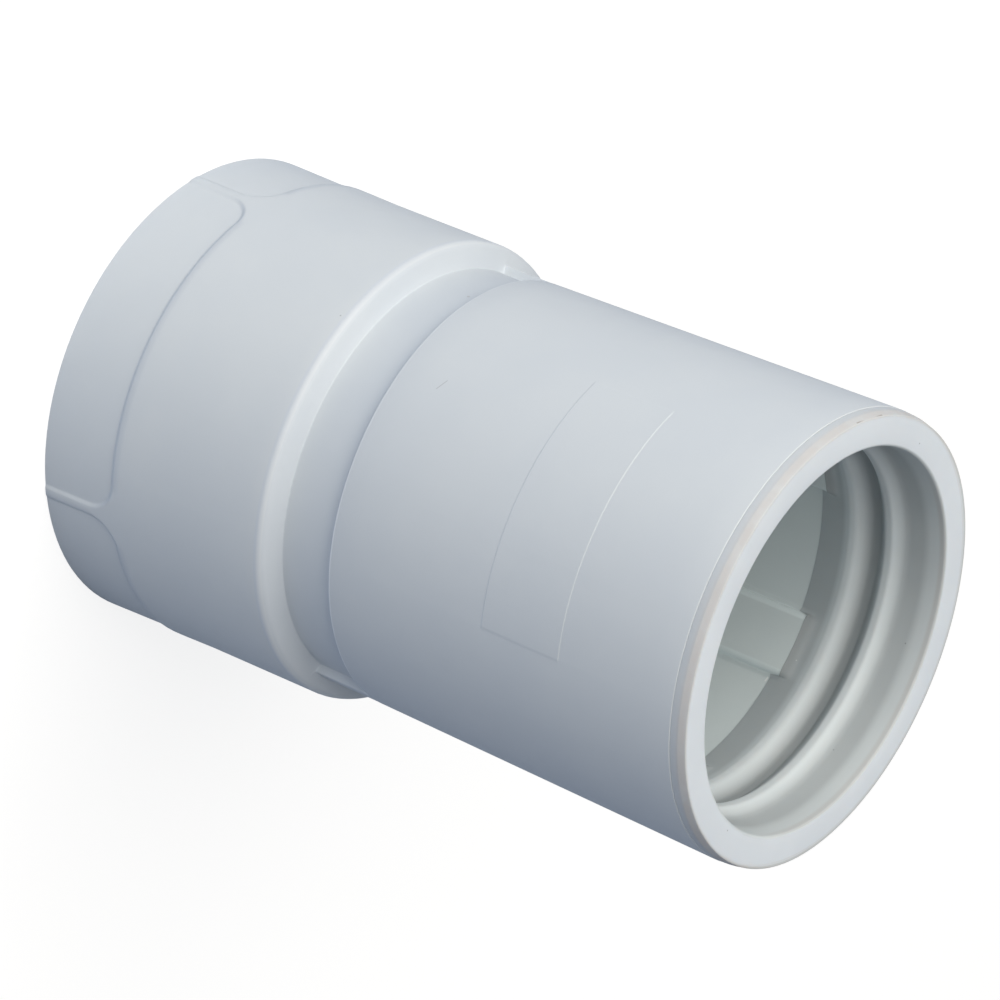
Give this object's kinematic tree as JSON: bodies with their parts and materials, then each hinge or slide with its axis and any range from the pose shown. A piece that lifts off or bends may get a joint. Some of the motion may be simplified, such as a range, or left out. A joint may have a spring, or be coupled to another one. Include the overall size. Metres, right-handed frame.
{
  "type": "conduit coupling",
  "caption": "Straight push-fit coupling for round electrical conduit: hard sleeve with a neck and larger rear end, a soft sealing ring in each mouth and a centre stop.",
  "frame": {"origin": "on the coupling's axis at its lowest face, the rear mouth, on which it stands", "axes": "+Z along the axis, from the larger rear end to the front mouth; -Y is the side with the bare label field; +X is one of the two lands in the neck"},
  "size_m": [0.033, 0.033, 0.0527],
  "materials": {
    "hard_plastic": "pale cool grey moulded plastic, satin, a little lighter along edges",
    "soft_seal": "pale grey soft moulded elastomer, matte, slightly warmer than the body"
  },
  "bodies": {
    "root": {"body": "hard_plastic", "front_seal": "soft_seal", "rear_seal": "soft_seal"}
  },
  "joints": []
}
